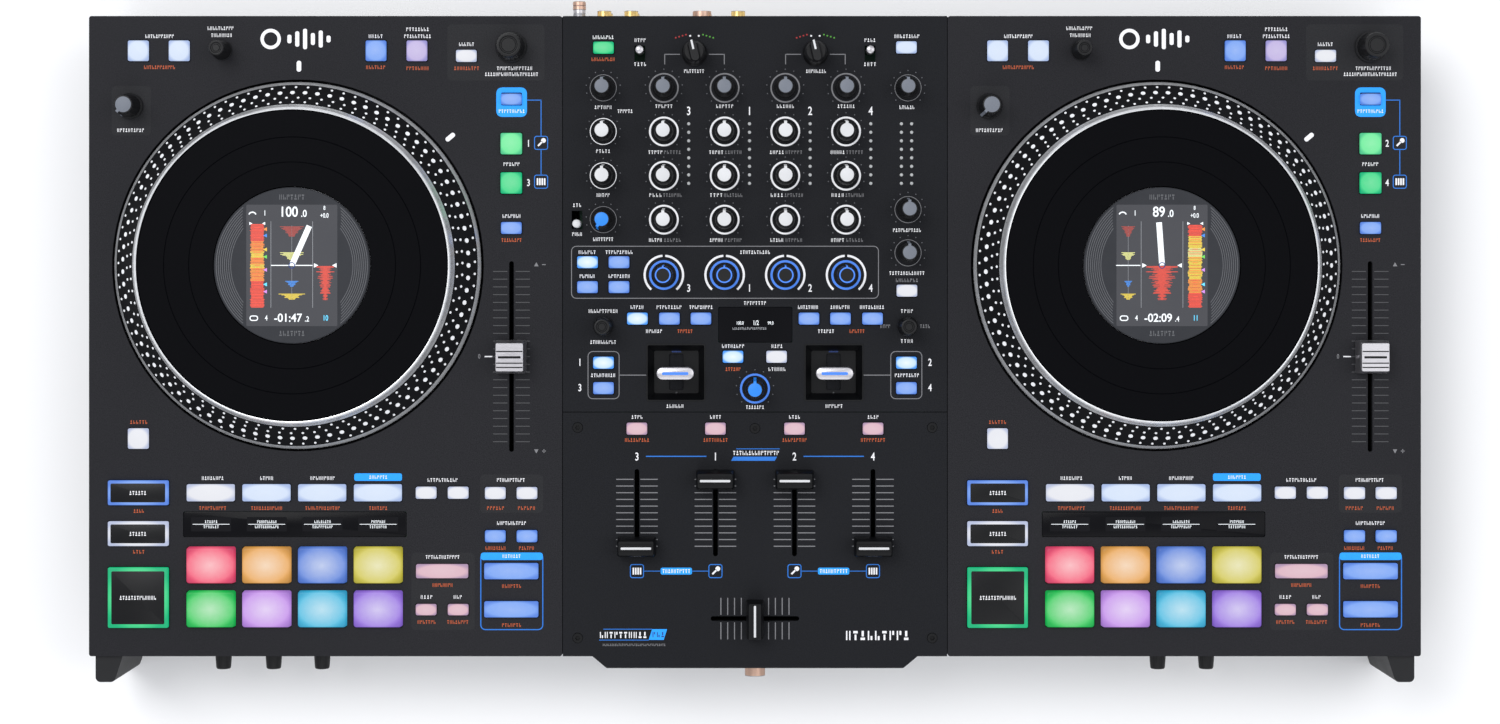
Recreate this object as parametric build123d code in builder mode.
from build123d import *
import os

# Four-channel DJ controller with two motor-driven platters.
# Millimetres, +Z up, +X to the operator's right, the operator stands at -Y.
# The origin is the centre of the bounding box on the surface the feet rest on.

# Body
bodyWidth = 782.2
bodyDepth = 376.0
bodyShift = 2.2  # the body's centre lies this far behind the origin
plateTop = 71.0
plateThick = 2.5
plateUnder = plateTop - plateThick
seam = 0.4
mixerWidth = 226.0
faderPlateTopEdge = -44.6
lipReach = 7.1
lipHalf = 95.5
lipCorner = 8.5
rearEdge = bodyShift + bodyDepth / 2
frontEdge = bodyShift - bodyDepth / 2

# Tray
footHeight = 7.0
trayBottom = 7.0
wall = 2.5
rearInset = 4.5
sideInset = 2.0
panelRear = rearEdge - rearInset

# Decks: both decks are the same, and their places are relative to the platter's centre
deckCentres = {"left": -268.4, "right": 235.9}
platterY = bodyShift + 41.5
platterRadius = 107.7
wellRadius = 109.2
wellWall = 2.0
wellDepth = 10.0
motorHole = 55.0
platterLip = 19.8
lipFoot = 14.6
lipOuter = 93.8
lipInner = 90.9
strobeFoot = 2.7
strobeOuter = 105.8
recordHole = 45.8
recordOuter = 90.3
recordThick = 1.5
screenRadius = 45.4
displayWidth = 53.0
displayHeight = 70.0

# Buttons: every button stands this far above its plate
buttonRise = 2.2
padRise = 3.0
buttonTravel = 1.2
buttonDepth = 6.0
buttonGap = 0.4
boardTop = 56.0
boardThick = 1.6
switchTop = 60.5

# Knobs
knobRise = 18.0
shaftRadius = 3.0
potBore = 3.3
shaftDepth = 9.0
potRadius = 4.6
potGap = 0.6

# Faders
faderStem = 1.6
slotWidth = 2.8
pitchTravel = 100.0
channelTravel = 39.3
crossTravel = 44.0
capGap = 1.5
trackTop = plateUnder - 1.0
trackDepth = 12.0

# Deck layout: x, y, width, depth
wideButton = (35.5, 14.5)
smallSquare = (12.0, 12.0)
smallOblong = (12.0, 7.0)
deckButtons = [
    (-93.5, 126.0, *smallSquare),
    (-69.5, 126.0, *smallSquare),
    (46.0, 126.0, *smallSquare),
    (70.0, 126.0, *smallSquare),
    (99.0, 123.0, *smallOblong),
    (125.4, 97.6, 12.0, 6.5),
    (125.4, 71.5, 12.5, 12.5),
    (125.4, 48.4, 12.5, 12.5),
    (125.4, 22.0, *smallOblong),
    (-93.5, -101.6, *smallSquare),
    (-93.5, -133.4, *wideButton),
    (-93.5, -157.4, *wideButton),
    (-93.5, -194.9, 35.5, 35.5),
    (75.4, -133.4, *smallOblong),
    (94.2, -133.4, *smallOblong),
    (116.0, -133.6, *smallOblong),
    (134.6, -133.6, *smallOblong),
    (116.0, -158.9, *smallOblong),
    (134.6, -158.9, *smallOblong),
    (84.8, -179.4, 30.5, 8.2),
    (75.4, -202.0, 12.0, 6.5),
    (94.2, -202.0, 12.0, 6.5),
    (125.4, -179.4, 31.7, 9.4),
    (125.4, -201.8, 31.7, 9.4),
]
padColumns = [-51.0 + 32.7 * column for column in range(4)]
deckButtons += [(x, -133.4, 28.0, 10.0) for x in padColumns]
padRows = [-175.9, -201.7]
deckPads = [(x, y, 28.2, 21.1) for y in padRows for x in padColumns]
labelStrip = (-1.8, -152.0, 131.0, 14.8)
beatLengthKnob = (-44.5, 126.4, 5.9)
stopTimeKnob = (-98.3, 93.5, 7.6)
scrollKnob = (125.3, 128.1, 9.2)
pitchFaderX = 125.4
pitchFaderY = -53.5
pitchCap = (18.4, 19.8, 12.0)

# Mixer layout, relative to the body's centre
channelColumns = [-53.5, -17.8, 17.8, 53.5]
knobRows = {"level": 145.8, "high": 120.2, "mid": 94.2, "low": 68.4}
outerColumn = 89.1
effectKnobY = 35.9
mixerButtons = [
    (-88.9, 169.3, *smallOblong),
    (88.9, 169.5, *smallOblong),
    (89.2, 26.7, *smallOblong),
    (-98.3, 43.4, *smallOblong),
    (-79.8, 43.4, *smallOblong),
    (-98.3, 28.8, *smallOblong),
    (-79.8, 28.8, *smallOblong),
    (-12.9, -12.1, *smallOblong),
    (12.7, -12.1, *smallOblong),
    (-88.9, -15.6, *smallOblong),
    (-88.9, -30.5, *smallOblong),
    (88.9, -15.6, *smallOblong),
    (88.9, -30.5, *smallOblong),
]
mixerButtons += [(side * x, 10.3, *smallOblong) for side in (-1, 1) for x in (69.0, 50.2, 31.7)]
cueButtons = [(side * x, -54.3, *smallOblong) for side in (-1, 1) for x in (69.3, 23.2)]
lineSwitches = {"left": (-67.6, 166.0), "right": (67.6, 166.0)}
lineSlot = (6.3, 9.2)
lineTravel = 3.6
micSwitch = (-104.5, 68.3)
micSlot = (6.3, 10.6)
micTravel = 4.6
effectsDisplay = (0.2, 6.7, 43.3, 20.7)
paddleWells = {"left": (-46.4, -21.4), "right": (46.4, -21.4)}
paddleWell = (33.4, 32.3)
paddleWellDepth = 9.0
paddleCap = (22.2, 7.6)
paddleReach = 14.0
paddlePivotDepth = 5.0
paddleFloor = 1.5
paddleBarrel = 2.4
paddlePin = 1.2
paddlePinGap = 0.3
paddleHalf = 3.0
earGap = 0.4
earThick = 2.0
meterTop = 124.7
meterPitch = 5.0
meterColumns = [-38.9, -3.2, 32.4, 68.0, 86.0, 92.0]
ledRadius = 1.1
faderColumns = {"3": -69.3, "1": -23.2, "2": 23.2, "4": 69.3}
channelFaderY = -103.7
channelCap = (22.9, 11.7, 12.0)
channelRest = {"3": -channelTravel, "1": 0.0, "2": 0.0, "4": -channelTravel}
crossFaderY = -165.9
crossCap = (10.6, 23.0, 12.0)
plateScrews = [(-104.1, -53.7), (0.0, -54.2), (104.1, -53.7), (-104.1, -177.3), (104.1, -177.3)]
screwRadius = 2.8

# Knobs that share one node: x, y, radius, in mixer places
trimPlaces = [
    (-outerColumn, 145.8, 6.6),
    (-outerColumn, 120.2, 6.6),
    (-outerColumn, 94.2, 6.6),
    (-outerColumn, 68.4, 6.6),
    (-35.5, 166.1, 7.5),
    (35.5, 166.1, 7.5),
    (outerColumn, 74.3, 6.6),
    (outerColumn, 48.9, 6.6),
    (-88.9, 5.8, 6.0),
    (89.5, 5.8, 6.0),
    (0.0, -30.8, 6.6),
]

# Front edge
frontKnobs = [-318.0, -288.0, -259.0, 241.0, 270.0]
frontKnobRadius = 4.9
frontKnobReach = 12.0
frontKnobZ = 42.0
jackRadius = 6.0
jackBore = 3.2
jackReach = 15.7
jackDepth = 22.0
legWidth = 16.4
legNose = 11.0
legReach = 15.6
legInset = 3.2

# Rear sockets: x places on the recessed rear wall
phonoColumns = [-89.7, -73.7, -10.0]
phonoRows = [49.0, 33.0]
phonoRadius = 4.15
phonoReach = 9.5
phonoBody = 5.2
phonoCollar = 1.0
groundPost = (-105.0, 43.0)
rearJacks = [(-31.6, 47.5), (-31.6, 32.0)]
rearJackRadius = 5.5
xlrColumns = [52.0, 84.0]
xlrOuter = 11.0
xlrBore = 9.3
xlrLong = 20.0
usbColumns = [-150.0, -172.0]
inletX = 180.0
rockerX = 222.0
socketZ = 43.0
socketTail = 12.0


def mixerAt(x, y):
    return (x, y + bodyShift)


def deckAt(centre, x, y):
    return (centre + x, y + platterY)


def upright(x, y, z=plateTop):
    """Plane through (x, y, z) whose own x is outward and own y is up."""
    return Plane(origin=(x, y, z), x_dir=(1, 0, 0), z_dir=(0, -1, 0))


def paddlePivot(x, y):
    """Plane through a paddle's pin whose own x points to the rear and own y is up."""
    return Plane(origin=(x, y, pivotZ), x_dir=(0, 1, 0), z_dir=(1, 0, 0))


def turned(x, y):
    return Axis((x, y, 0), (0, 0, 1))


def save(part, name):
    part.label = name
    export_step(part, f"parts/{name}.step")


def allControls():
    """Every shaft that passes a top plate: x, y, knob radius."""
    places = []
    for y in knobRows.values():
        for x in channelColumns:
            places.append((*mixerAt(x, y), 6.6))
    for x in channelColumns:
        places.append((*mixerAt(x, effectKnobY), 6.0))
    places.append((*mixerAt(outerColumn, 145.8), 6.6))
    for x, y, radius in trimPlaces:
        places.append((*mixerAt(x, y), radius))
    for centre in deckCentres.values():
        for x, y, radius in (beatLengthKnob, stopTimeKnob, scrollKnob):
            places.append((*deckAt(centre, x, y), radius))
    return places


def knobProfile(radius, rise):
    """Half outline of a knob with its shaft, outward from the axis."""
    shoulder = radius * 0.86
    with BuildLine() as outline:
        Polyline(
            (0, -shaftDepth),
            (shaftRadius, -shaftDepth),
            (shaftRadius, potGap),
            (radius, potGap),
            (radius, potGap + 2.0),
            (shoulder, potGap + 3.2),
            (shoulder * 0.94, rise - 0.8),
            (shoulder * 0.94 - 0.8, rise),
            (0, rise),
            (0, -shaftDepth),
        )
    make_face(outline.edges())


def buttonHoles(places, where):
    for x, y, width, depth in places:
        with Locations(where(x, y)):
            RectangleRounded(width + 2 * buttonGap, depth + 2 * buttonGap, 1.4, mode=Mode.SUBTRACT)


def shaftHoles(places):
    for x, y, radius in places:
        with Locations((x, y)):
            Circle(potRadius + 0.2, mode=Mode.SUBTRACT)


os.makedirs("parts", exist_ok=True)
controls = allControls()
pivotZ = plateTop - paddlePivotDepth

# Lower tray: floor, walls and the recessed rear wall with a hole for each socket
trayWidth = bodyWidth - 2 * sideInset
trayFront = frontEdge + 1.0
trayDepth = panelRear - trayFront
trayMid = (panelRear + trayFront) / 2
phonoPlaces = [(x, z) for x in phonoColumns for z in phonoRows]
rearHoles = [(x, z, phonoBody + 0.3) for x, z in phonoPlaces]
rearHoles += [(x, z, rearJackRadius + 0.3) for x, z in rearJacks]
rearHoles += [(x, socketZ, xlrOuter + 0.3) for x in xlrColumns]
rearHoles += [(*groundPost, 2.6)]
rearPlane = Plane(origin=(0, panelRear, 0), x_dir=(-1, 0, 0), z_dir=(0, 1, 0))
frontPlane = Plane(origin=(0, trayFront, 0), x_dir=(1, 0, 0), z_dir=(0, -1, 0))
with BuildPart() as bottom_tray:
    with BuildSketch(Plane.XY.offset(trayBottom)):
        with Locations((0, trayMid)):
            RectangleRounded(trayWidth, trayDepth, 3.0)
    extrude(amount=plateUnder - trayBottom)
    with BuildSketch(Plane.XY.offset(trayBottom + wall)):
        with Locations((0, trayMid)):
            RectangleRounded(trayWidth - 2 * wall, trayDepth - 2 * wall, 1.0)
    extrude(amount=plateUnder - trayBottom, mode=Mode.SUBTRACT)
    with BuildSketch(rearPlane):
        for x, z, radius in rearHoles:
            with Locations((-x, z)):
                Circle(radius)
        for x in usbColumns:
            with Locations((-x, socketZ)):
                Rectangle(12.6, 11.6)
        with Locations((-inletX, socketZ)):
            RectangleRounded(28.6, 21.6, 2.0)
        with Locations((-rockerX, socketZ)):
            Rectangle(20.6, 13.6)
    extrude(amount=-wall, mode=Mode.SUBTRACT)
    with BuildSketch(frontPlane):
        for x in frontKnobs:
            with Locations((x, frontKnobZ)):
                Circle(shaftRadius + 0.8)
        with Locations((0, frontKnobZ)):
            Circle(jackRadius + 0.3)
    extrude(amount=-wall, mode=Mode.SUBTRACT)
    chamfer(bottom_tray.edges().group_by(Axis.Z)[0], length=1.2)
save(bottom_tray.part, "bottom_tray")

# Deck plates, each with a dished well that the platter turns in
with BuildPart() as deck_plates:
    for side, centre in deckCentres.items():
        outer = -bodyWidth / 2 if side == "left" else bodyWidth / 2
        inner = -mixerWidth / 2 if side == "left" else mixerWidth / 2
        inner += -seam / 2 if side == "left" else seam / 2
        plateMid = (outer + inner) / 2
        with BuildSketch(Plane.XY.offset(plateUnder)):
            with Locations((plateMid, bodyShift)):
                RectangleRounded(abs(outer - inner), bodyDepth, 1.5)
            with Locations((centre, platterY)):
                Circle(wellRadius, mode=Mode.SUBTRACT)
            buttonHoles(deckButtons + deckPads, lambda x, y: deckAt(centre, x, y))
            shaftHoles([place for place in controls if abs(place[0] - centre) < 150 and abs(place[0]) > 113])
            with Locations(deckAt(centre, pitchFaderX, pitchFaderY)):
                SlotOverall(pitchTravel + 12, slotWidth, rotation=90, mode=Mode.SUBTRACT)
            with Locations(deckAt(centre, labelStrip[0], labelStrip[1])):
                RectangleRounded(labelStrip[2] + 0.3, labelStrip[3] + 0.3, 1.0, mode=Mode.SUBTRACT)
        extrude(amount=plateThick)
        with BuildSketch(upright(centre, platterY)):
            with BuildLine():
                Polyline(
                    (wellRadius, 0),
                    (wellRadius + wellWall, 0),
                    (wellRadius + wellWall, -wellDepth - wellWall),
                    (motorHole, -wellDepth - wellWall),
                    (motorHole, -wellDepth),
                    (wellRadius, -wellDepth),
                    (wellRadius, 0),
                )
            make_face()
        revolve(axis=turned(centre, platterY))
save(deck_plates.part, "deck_plates")

# Mixer plate, with two sunk wells for the effect paddles
mixerFront = faderPlateTopEdge + bodyShift + seam / 2
mixerPlateMid = (rearEdge + mixerFront) / 2
with BuildPart() as mixer_plate:
    with BuildSketch(Plane.XY.offset(plateUnder)):
        with Locations((0, mixerPlateMid)):
            Rectangle(mixerWidth - seam, rearEdge - mixerFront)
        buttonHoles(mixerButtons, mixerAt)
        shaftHoles([place for place in controls if abs(place[0]) < mixerWidth / 2])
        for x, y in lineSwitches.values():
            with Locations(mixerAt(x, y)):
                Rectangle(*lineSlot, mode=Mode.SUBTRACT)
        with Locations(mixerAt(*micSwitch)):
            Rectangle(*micSlot, mode=Mode.SUBTRACT)
        with Locations(mixerAt(*effectsDisplay[:2])):
            RectangleRounded(effectsDisplay[2] + 0.3, effectsDisplay[3] + 0.3, 1.0, mode=Mode.SUBTRACT)
        for x, y in paddleWells.values():
            with Locations(mixerAt(x, y)):
                Rectangle(*paddleWell, mode=Mode.SUBTRACT)
        for x in meterColumns:
            for step in range(8):
                with Locations(mixerAt(x, meterTop - meterPitch * step)):
                    Circle(ledRadius + 0.1, mode=Mode.SUBTRACT)
    extrude(amount=plateThick)
    for x, y in paddleWells.values():
        wellX, wellY = mixerAt(x, y)
        with BuildSketch(Plane.XY.offset(plateUnder)):
            with Locations((wellX, wellY)):
                Rectangle(paddleWell[0] + 3, paddleWell[1] + 3)
        extrude(amount=-paddleWellDepth)
        with BuildSketch(Plane.XY.offset(plateTop)):
            with Locations((wellX, wellY)):
                Rectangle(*paddleWell)
        extrude(amount=-plateThick - paddleWellDepth + paddleFloor, mode=Mode.SUBTRACT)
save(mixer_plate.part, "mixer_plate")

# Fader plate, whose lip stands past the body's front edge with its corners cut
faderPlateRear = faderPlateTopEdge + bodyShift - seam / 2
lipFront = frontEdge - lipReach
halfPlate = mixerWidth / 2 - seam / 2
with BuildPart() as fader_plate:
    with BuildSketch(Plane.XY.offset(plateUnder)):
        with BuildLine():
            Polyline(
                (-halfPlate, faderPlateRear),
                (-halfPlate, frontEdge),
                (-lipHalf, frontEdge),
                (-lipHalf + lipCorner, lipFront),
                (lipHalf - lipCorner, lipFront),
                (lipHalf, frontEdge),
                (halfPlate, frontEdge),
                (halfPlate, faderPlateRear),
                (-halfPlate, faderPlateRear),
            )
        make_face()
        buttonHoles(cueButtons, mixerAt)
        for x in faderColumns.values():
            with Locations(mixerAt(x, channelFaderY)):
                SlotOverall(channelTravel + 12, slotWidth, rotation=90, mode=Mode.SUBTRACT)
        with Locations(mixerAt(0, crossFaderY)):
            SlotOverall(crossTravel + 8, slotWidth, mode=Mode.SUBTRACT)
    extrude(amount=plateThick)
    for x, y in plateScrews:
        with Locations((*mixerAt(x, y), plateTop)):
            CounterBoreHole(radius=1.7, counter_bore_radius=screwRadius + 0.25, counter_bore_depth=1.6, depth=3)
    lipSides = fader_plate.edges().filter_by(Axis.X).group_by(Axis.Y)[0]
    chamfer(lipSides.group_by(Axis.Z)[-1], length=0.8)
save(fader_plate.part, "fader_plate")

# Guard legs that stand at the two front corners
with BuildPart() as front_legs:
    for side in (-1, 1):
        outerX = side * (bodyWidth / 2 - legInset)
        innerX = outerX - side * legWidth
        noseX = outerX - side * legNose
        with BuildSketch(Plane.XY.offset(trayBottom)):
            with BuildLine():
                Polyline(
                    (outerX, frontEdge + 1.0),
                    (outerX, frontEdge - legReach),
                    (noseX, frontEdge - legReach),
                    (innerX, frontEdge + 1.0),
                    (outerX, frontEdge + 1.0),
                )
            make_face()
        extrude(amount=plateUnder - trayBottom)
    noseEdges = front_legs.edges().filter_by(Axis.Z).group_by(Axis.Y)[0]
    fillet(noseEdges, radius=3.0)
save(front_legs.part, "front_legs")

# Rubber feet under the tray
footPlaces = [(x, y) for x in (-340.0, 0.0, 340.0) for y in (-150.0, 150.0)]
with BuildPart() as rubber_feet:
    with BuildSketch(Plane.XY):
        with Locations(*footPlaces):
            Circle(14.0)
    extrude(amount=footHeight)
    chamfer(rubber_feet.edges().group_by(Axis.Z)[0], length=1.5)
save(rubber_feet.part, "rubber_feet")

# Hex socket screws of the fader plate
with BuildPart() as fasteners:
    for x, y in plateScrews:
        with BuildSketch(Plane.XY.offset(plateTop - 1.5)):
            with Locations(mixerAt(x, y)):
                Circle(screwRadius)
        extrude(amount=1.9)
        with BuildSketch(Plane.XY.offset(plateTop + 0.4)):
            with Locations(mixerAt(x, y)):
                RegularPolygon(radius=1.5, side_count=6)
        extrude(amount=-1.3, mode=Mode.SUBTRACT)
        with BuildSketch(Plane.XY.offset(plateTop - 1.5)):
            with Locations(mixerAt(x, y)):
                Circle(1.4)
        extrude(amount=-6.0)
save(fasteners.part, "fasteners")

# Sockets: phono pairs, jacks, ground post, balanced outputs, data ports, mains inlet and its rocker,
# and the headphone jack at the front
with BuildPart() as rear_sockets:
    with BuildSketch(rearPlane.offset(-socketTail)):
        for x, z in phonoPlaces:
            with Locations((-x, z)):
                Circle(phonoBody)
    extrude(amount=socketTail + phonoCollar)
    with BuildSketch(rearPlane.offset(phonoCollar)):
        for x, z in phonoPlaces:
            with Locations((-x, z)):
                Circle(phonoRadius)
    extrude(amount=phonoReach - phonoCollar)
    with BuildSketch(rearPlane.offset(-socketTail)):
        for x, z in rearJacks:
            with Locations((-x, z)):
                Circle(rearJackRadius)
        with Locations((-groundPost[0], groundPost[1])):
            Circle(2.3)
    extrude(amount=socketTail + phonoReach)
    with BuildSketch(rearPlane):
        with Locations((-groundPost[0], groundPost[1])):
            Circle(3.6)
    extrude(amount=rearInset + 11.3)
    with BuildSketch(rearPlane.offset(phonoReach)):
        for x, z in phonoPlaces:
            with Locations((-x, z)):
                Circle(1.6)
    extrude(amount=-8.0, mode=Mode.SUBTRACT)
    with BuildSketch(rearPlane.offset(phonoReach)):
        for x, z in rearJacks:
            with Locations((-x, z)):
                Circle(jackBore)
    extrude(amount=-18.0, mode=Mode.SUBTRACT)
    for x in xlrColumns:
        with BuildSketch(rearPlane):
            with Locations((-x, socketZ)):
                Circle(xlrOuter)
        extrude(amount=-xlrLong)
        with BuildSketch(rearPlane):
            with Locations((-x, socketZ)):
                Circle(xlrBore)
        extrude(amount=-xlrLong + 3, mode=Mode.SUBTRACT)
        with BuildSketch(rearPlane.offset(-xlrLong + 3)):
            with Locations((-x, socketZ)):
                with PolarLocations(3.8, 3):
                    Circle(1.2)
        extrude(amount=9.0)
    for x in usbColumns:
        with BuildSketch(rearPlane):
            with Locations((-x, socketZ)):
                Rectangle(12.0, 11.0)
        extrude(amount=-16.0)
        with BuildSketch(rearPlane):
            with Locations((-x, socketZ)):
                Rectangle(8.5, 7.8)
        extrude(amount=-12.0, mode=Mode.SUBTRACT)
        with BuildSketch(rearPlane.offset(-12.0)):
            with Locations((-x, socketZ)):
                Rectangle(5.6, 3.2)
        extrude(amount=6.0)
    with BuildSketch(rearPlane):
        with Locations((-inletX, socketZ)):
            RectangleRounded(28.0, 21.0, 2.0)
    extrude(amount=-20.0)
    with BuildSketch(rearPlane):
        with Locations((-inletX, socketZ)):
            RectangleRounded(24.0, 17.0, 3.0)
    extrude(amount=-16.0, mode=Mode.SUBTRACT)
    with BuildSketch(rearPlane.offset(-16.0)):
        with Locations((-inletX - 7, socketZ - 2), (-inletX + 7, socketZ - 2), (-inletX, socketZ + 2)):
            Rectangle(2.0, 4.0)
    extrude(amount=9.0)
    with BuildSketch(rearPlane.offset(-socketTail)):
        with Locations((-rockerX, socketZ)):
            Rectangle(20.0, 13.0)
    extrude(amount=socketTail + 1.5)
    jackPlane = Plane(origin=(0, frontEdge - jackReach, frontKnobZ), x_dir=(1, 0, 0), z_dir=(0, -1, 0))
    with BuildSketch(jackPlane):
        Circle(jackRadius)
    extrude(amount=-jackReach - jackDepth)
    with BuildSketch(jackPlane):
        Circle(jackBore)
    extrude(amount=-jackReach - jackDepth + 4, mode=Mode.SUBTRACT)
save(rear_sockets.part, "rear_sockets")

# Circuit boards under each plate, with a round opening for each motor, and one switch under each button
with BuildPart() as circuit_boards:
    for centre in deckCentres.values():
        with BuildSketch(Plane.XY.offset(boardTop - boardThick)):
            with Locations(deckAt(centre, 17.0, -41.5)):
                Rectangle(258.0, 350.0)
            with Locations((centre, platterY)):
                Circle(wellRadius + wellWall + 2, mode=Mode.SUBTRACT)
            with Locations(deckAt(centre, pitchFaderX, pitchFaderY)):
                Rectangle(13.0, pitchTravel + 26, mode=Mode.SUBTRACT)
        extrude(amount=boardThick)
        with BuildSketch(Plane.XY.offset(boardTop)):
            for x, y, width, depth in deckButtons + deckPads:
                with Locations(deckAt(centre, x, y)):
                    Rectangle(6.0, 6.0)
        extrude(amount=switchTop - boardTop)
    with BuildSketch(Plane.XY.offset(boardTop - boardThick)):
        with Locations((0, bodyShift)):
            Rectangle(208.0, 350.0)
        for x in faderColumns.values():
            with Locations(mixerAt(x, channelFaderY)):
                Rectangle(13.0, channelTravel + 24, mode=Mode.SUBTRACT)
        with Locations(mixerAt(0, crossFaderY)):
            Rectangle(crossTravel + 24, 13.0, mode=Mode.SUBTRACT)
        for x, y in paddleWells.values():
            with Locations(mixerAt(x, y)):
                Rectangle(paddleWell[0] + 5, paddleWell[1] + 5, mode=Mode.SUBTRACT)
    extrude(amount=boardThick)
    with BuildSketch(Plane.XY.offset(boardTop)):
        for x, y, width, depth in mixerButtons + cueButtons:
            with Locations(mixerAt(x, y)):
                Rectangle(6.0, 6.0)
    extrude(amount=switchTop - boardTop)
save(circuit_boards.part, "circuit_boards")

# Power supply block on the tray's floor
with BuildPart() as power_supply:
    with BuildSketch(Plane.XY.offset(trayBottom + wall)):
        with Locations((60.0, 75.0)):
            Rectangle(150.0, 90.0)
    extrude(amount=28.0)
    with BuildSketch(Plane.XY.offset(trayBottom + wall + 28.0)):
        with Locations((60.0, 75.0)):
            with GridLocations(14.0, 60.0, 8, 1):
                Rectangle(5.0, 50.0)
    extrude(amount=-2.0, mode=Mode.SUBTRACT)
save(power_supply.part, "power_supply")

# Motor stators on the tray's floor, each with the bearing tube that the platter turns on
tubeTop = plateTop + platterLip - 3.0
tubeRadius = recordHole - 0.4
with BuildPart() as platter_motors:
    for centre in deckCentres.values():
        with BuildSketch(upright(centre, platterY, trayBottom + wall)):
            with BuildLine():
                Polyline(
                    (30.0, 0),
                    (52.0, 0),
                    (52.0, 30.0),
                    (tubeRadius, 34.0),
                    (tubeRadius, tubeTop - trayBottom - wall),
                    (38.0, tubeTop - trayBottom - wall),
                    (38.0, 30.0),
                    (30.0, 30.0),
                    (30.0, 0),
                )
            make_face()
        revolve(axis=turned(centre, platterY))
save(platter_motors.part, "platter_motors")

# Fixed centre screens, with a sunk seat for each display
screenThick = 3.0
with BuildPart() as platter_screens:
    for centre in deckCentres.values():
        with BuildSketch(Plane.XY.offset(tubeTop)):
            with Locations((centre, platterY)):
                Circle(screenRadius)
        extrude(amount=screenThick)
        with BuildSketch(Plane.XY.offset(tubeTop + screenThick)):
            with Locations((centre, platterY)):
                Rectangle(displayWidth, displayHeight)
        extrude(amount=-1.2, mode=Mode.SUBTRACT)
save(platter_screens.part, "platter_screens")

# Display windows: platter displays, the label strips of the pads and the effects display
with BuildPart() as display_windows:
    for centre in deckCentres.values():
        with BuildSketch(Plane.XY.offset(tubeTop + screenThick - 1.2)):
            with Locations((centre, platterY)):
                Rectangle(displayWidth - 0.2, displayHeight - 0.2)
        extrude(amount=1.1)
        with BuildSketch(Plane.XY.offset(plateUnder)):
            with Locations(deckAt(centre, labelStrip[0], labelStrip[1])):
                RectangleRounded(labelStrip[2], labelStrip[3], 0.8)
        extrude(amount=plateThick)
    with BuildSketch(Plane.XY.offset(plateUnder)):
        with Locations(mixerAt(*effectsDisplay[:2])):
            RectangleRounded(effectsDisplay[2], effectsDisplay[3], 0.8)
    extrude(amount=plateThick)
save(display_windows.part, "display_windows")

# Meter lights between the knob columns
with BuildPart() as meter_leds:
    with BuildSketch(Plane.XY.offset(plateUnder - 2.0)):
        for x in meterColumns:
            for step in range(8):
                with Locations(mixerAt(x, meterTop - meterPitch * step)):
                    Circle(ledRadius)
    extrude(amount=plateThick + 2.3)
save(meter_leds.part, "meter_leds")

# Potentiometers under every knob and the track under every fader
frontPotPlane = Plane(origin=(0, trayFront + wall, frontKnobZ), x_dir=(1, 0, 0), z_dir=(0, -1, 0))
with BuildPart() as control_bodies:
    for x, y, radius in controls:
        with BuildSketch(Plane.XY.offset(boardTop)):
            with Locations((x, y)):
                Rectangle(9.6, 10.6)
        extrude(amount=trackTop - 3.0 - boardTop)
        with BuildSketch(Plane.XY.offset(trackTop - 3.0)):
            with Locations((x, y)):
                Circle(potRadius)
        extrude(amount=plateTop + 0.2 - trackTop + 3.0)
        with BuildSketch(Plane.XY.offset(plateTop + 0.2)):
            with Locations((x, y)):
                Circle(potBore)
        extrude(amount=-shaftDepth - 1.0, mode=Mode.SUBTRACT)
    for centre in deckCentres.values():
        x, y = deckAt(centre, pitchFaderX, pitchFaderY)
        with BuildSketch(Plane.XY.offset(trackTop)):
            with Locations((x, y)):
                Rectangle(9.0, pitchTravel + 22)
            with Locations((x, y)):
                Rectangle(slotWidth, pitchTravel + 12, mode=Mode.SUBTRACT)
        extrude(amount=-trackDepth)
    for column in faderColumns.values():
        x, y = mixerAt(column, channelFaderY)
        with BuildSketch(Plane.XY.offset(trackTop)):
            with Locations((x, y)):
                Rectangle(9.0, channelTravel + 20)
            with Locations((x, y)):
                Rectangle(slotWidth, channelTravel + 12, mode=Mode.SUBTRACT)
        extrude(amount=-trackDepth)
    x, y = mixerAt(0, crossFaderY)
    with BuildSketch(Plane.XY.offset(trackTop)):
        with Locations((x, y)):
            Rectangle(crossTravel + 20, 9.0)
        with Locations((x, y)):
            Rectangle(crossTravel + 8, slotWidth, mode=Mode.SUBTRACT)
    extrude(amount=-trackDepth)
    for x in frontKnobs:
        with BuildSketch(frontPotPlane):
            with Locations((x, 0)):
                Rectangle(10.0, 11.0)
                Circle(shaftRadius, mode=Mode.SUBTRACT)
        extrude(amount=-8.0)
    for column, row in paddleWells.values():
        x, y = mixerAt(column, row)
        earX = paddleHalf + earGap + earThick / 2
        wellFloor = plateUnder - paddleWellDepth + paddleFloor
        with BuildSketch(Plane.XY.offset(wellFloor)):
            with Locations((x - earX, y), (x + earX, y)):
                Rectangle(earThick, 2 * paddleHalf)
        extrude(amount=pivotZ + paddleBarrel - wellFloor)
        with BuildSketch(paddlePivot(x, y)):
            Circle(paddlePin)
        extrude(amount=earX + earThick / 2, both=True)
save(control_bodies.part, "control_bodies")

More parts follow.
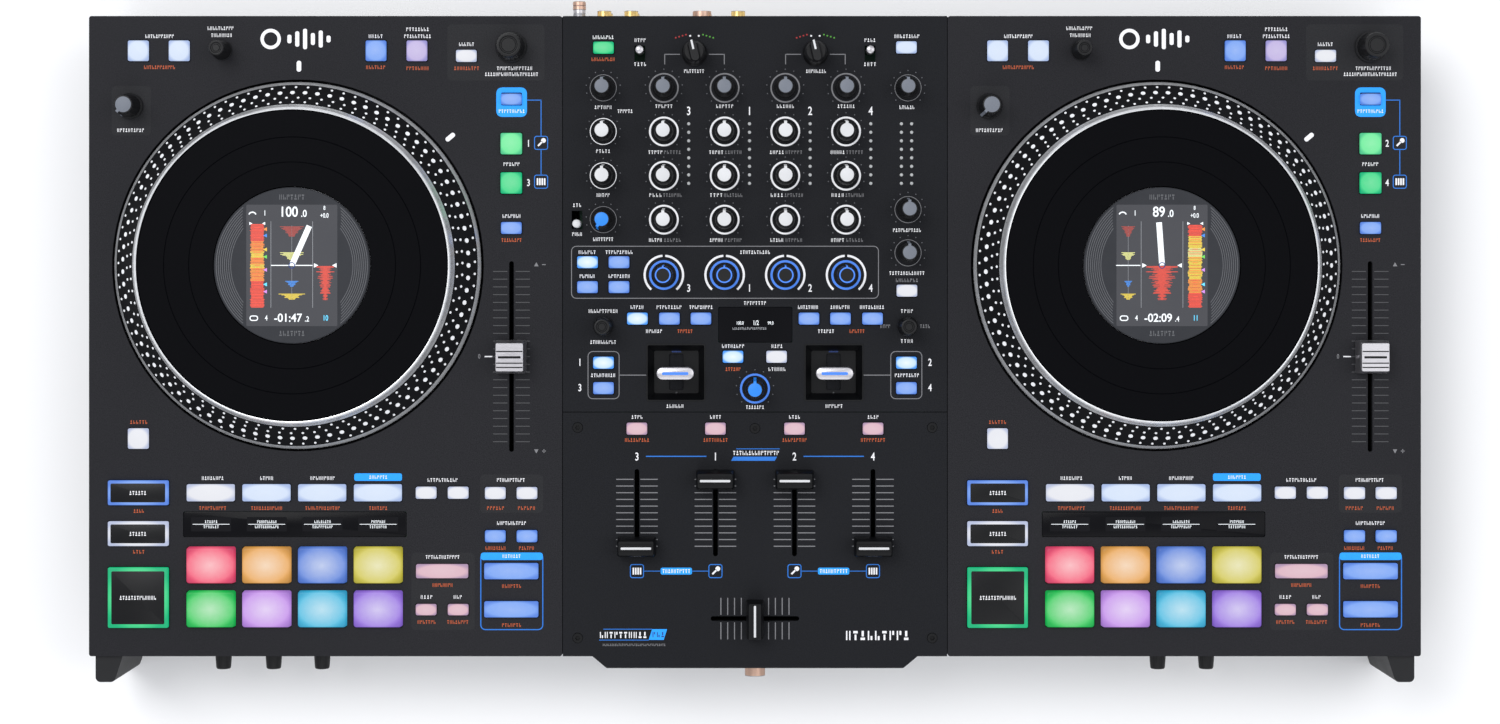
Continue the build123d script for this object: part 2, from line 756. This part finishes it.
# Knobs that share one node
frontKnobPlane = Plane(origin=(0, trayFront, frontKnobZ), x_dir=(1, 0, 0), z_dir=(0, -1, 0))
with BuildPart() as trim_knobs:
    places = [(*mixerAt(x, y), radius) for x, y, radius in trimPlaces]
    for centre in deckCentres.values():
        for x, y, radius in (beatLengthKnob, stopTimeKnob):
            places.append((*deckAt(centre, x, y), radius))
    for x, y, radius in places:
        with BuildSketch(upright(x, y)):
            knobProfile(radius, knobRise)
        revolve(axis=turned(x, y))
    with BuildSketch(frontKnobPlane.offset(0.6)):
        for x in frontKnobs:
            with Locations((x, 0)):
                Circle(frontKnobRadius)
    extrude(amount=frontKnobReach)
    with BuildSketch(frontKnobPlane.offset(0.6)):
        for x in frontKnobs:
            with Locations((x, 0)):
                Circle(shaftRadius - 0.1)
    extrude(amount=-9.0)
save(trim_knobs.part, "trim_knobs")

# Platters: hub, floor, strobe bevel and silver lip; each with its disc overlay
for side, centre in deckCentres.items():
    floorTop = platterLip - 2.1
    with BuildPart() as platter:
        with BuildSketch(upright(centre, platterY)):
            with BuildLine():
                Polyline(
                    (recordHole, -wellDepth - 6.0),
                    (53.0, -wellDepth - 6.0),
                    (53.0, -6.0),
                    (platterRadius, -6.0),
                    (platterRadius, 0.2),
                    (strobeOuter, strobeFoot),
                    (lipOuter, lipFoot),
                    (lipInner, platterLip),
                    (lipInner - 0.4, platterLip),
                    (lipInner - 0.4, floorTop),
                    (recordHole, floorTop),
                    (recordHole, -wellDepth - 6.0),
                )
            make_face()
        revolve(axis=turned(centre, platterY))
    save(platter.part, f"{side}_platter")
    with BuildPart() as record:
        with BuildSketch(Plane.XY.offset(plateTop + floorTop)):
            with Locations((centre, platterY)):
                Circle(recordOuter)
                Circle(recordHole, mode=Mode.SUBTRACT)
        extrude(amount=recordThick)
        chamfer(record.edges().group_by(Axis.Z)[-1], length=0.3)
    save(record.part, f"{side}_record")


def faderCap(x, y, cap, alongX):
    """Fader cap with a dished top and its stem, which runs in the slot."""
    width, depth, tall = cap
    stemLong = 5.0
    with BuildSketch(Plane.XY.offset(plateTop + capGap)) as grip:
        with Locations((x, y)):
            RectangleRounded(width, depth, 1.2)
    extrude(grip.sketch, amount=tall, taper=6)
    with BuildSketch(Plane.XY.offset(plateTop + capGap)) as stem:
        with Locations((x, y)):
            if alongX:
                Rectangle(stemLong, faderStem)
            else:
                Rectangle(faderStem, stemLong)
    extrude(stem.sketch, amount=-capGap - plateThick - 8.0)


for side, centre in deckCentres.items():
    with BuildPart() as pitch_fader:
        faderCap(*deckAt(centre, pitchFaderX, pitchFaderY), pitchCap, False)
    save(pitch_fader.part, f"{side}_pitch_fader")

for channel, column in faderColumns.items():
    topY = channelFaderY + channelTravel / 2
    with BuildPart() as channel_fader:
        faderCap(*mixerAt(column, topY + channelRest[channel]), channelCap, False)
    save(channel_fader.part, f"channel_fader_{channel}")

with BuildPart() as crossfader:
    faderCap(*mixerAt(0, crossFaderY), crossCap, True)
save(crossfader.part, "crossfader")

# Effect paddles: a cap on an arm that swings about a pin in the well
for side, (x, y) in paddleWells.items():
    paddleX, paddleY = mixerAt(x, y)
    with BuildPart() as paddle:
        with BuildSketch(paddlePivot(paddleX, paddleY)):
            Circle(paddleBarrel)
            with Locations((0, paddleReach / 2)):
                Rectangle(3.2, paddleReach)
            Circle(paddlePin + paddlePinGap, mode=Mode.SUBTRACT)
        extrude(amount=paddleHalf, both=True)
        with BuildSketch(Plane.XY.offset(pivotZ + paddleReach)):
            with Locations((paddleX, paddleY)):
                RectangleRounded(*paddleCap, 3.0)
        extrude(amount=6.0)
        fillet(paddle.edges().group_by(Axis.Z)[-1], radius=1.8)
    save(paddle.part, f"{side}_effect_paddle")

# Slide switches: each rests at one end of its slot
for side, (x, y) in lineSwitches.items():
    with BuildPart() as line_switch:
        with BuildSketch(Plane.XY.offset(plateTop - 6.0)):
            with Locations(mixerAt(x, y + lineTravel / 2)):
                Circle(2.5)
        extrude(amount=13.0)
        fillet(line_switch.edges().group_by(Axis.Z)[-1], radius=1.2)
    save(line_switch.part, f"{side}_line_switch")
with BuildPart() as mic_echo_switch:
    with BuildSketch(Plane.XY.offset(plateTop - 6.0)):
        with Locations(mixerAt(micSwitch[0], micSwitch[1] - micTravel / 2)):
            RectangleRounded(5.2, 5.2, 1.0)
    extrude(amount=12.0)
save(mic_echo_switch.part, "mic_echo_switch")


def buttonCaps(places, where, rise):
    """Caps that stand above the plate, each with a stem over its switch."""
    stemBottom = switchTop + buttonTravel + 0.3
    capBottom = plateTop + rise - buttonDepth
    with BuildSketch(Plane.XY.offset(capBottom)) as caps:
        for x, y, width, depth in places:
            with Locations(where(x, y)):
                RectangleRounded(width, depth, 1.0)
    extrude(caps.sketch, amount=buttonDepth)
    with BuildSketch(Plane.XY.offset(stemBottom)) as stems:
        for x, y, width, depth in places:
            with Locations(where(x, y)):
                Circle(2.0)
    extrude(stems.sketch, amount=capBottom - stemBottom)


for side, centre in deckCentres.items():
    with BuildPart() as deck_buttons:
        buttonCaps(deckButtons, lambda x, y: deckAt(centre, x, y), buttonRise)
        chamfer(deck_buttons.edges().group_by(Axis.Z)[-1], length=0.4)
    save(deck_buttons.part, f"{side}_deck_buttons")
    with BuildPart() as pads:
        buttonCaps(deckPads, lambda x, y: deckAt(centre, x, y), padRise)
        chamfer(pads.edges().group_by(Axis.Z)[-1], length=0.5)
    save(pads.part, f"{side}_pads")

with BuildPart() as mixer_buttons:
    buttonCaps(mixerButtons + cueButtons, mixerAt, buttonRise)
    chamfer(mixer_buttons.edges().group_by(Axis.Z)[-1], length=0.4)
save(mixer_buttons.part, "mixer_buttons")


def lonelyKnob(x, y, radius, name):
    with BuildPart() as knob:
        with BuildSketch(upright(x, y)):
            knobProfile(radius, knobRise)
        revolve(axis=turned(x, y))
    save(knob.part, name)


channelNames = ["3", "1", "2", "4"]
for channel, x in zip(channelNames, channelColumns):
    for row, y in knobRows.items():
        lonelyKnob(*mixerAt(x, y), 6.6, f"channel_{channel}_{row}_knob")
    lonelyKnob(*mixerAt(x, effectKnobY), 6.0, f"channel_{channel}_effect_knob")
lonelyKnob(*mixerAt(outerColumn, 145.8), 6.6, "main_level_knob")
for side, centre in deckCentres.items():
    x, y, radius = scrollKnob
    lonelyKnob(*deckAt(centre, x, y), radius, f"{side}_scroll_knob")
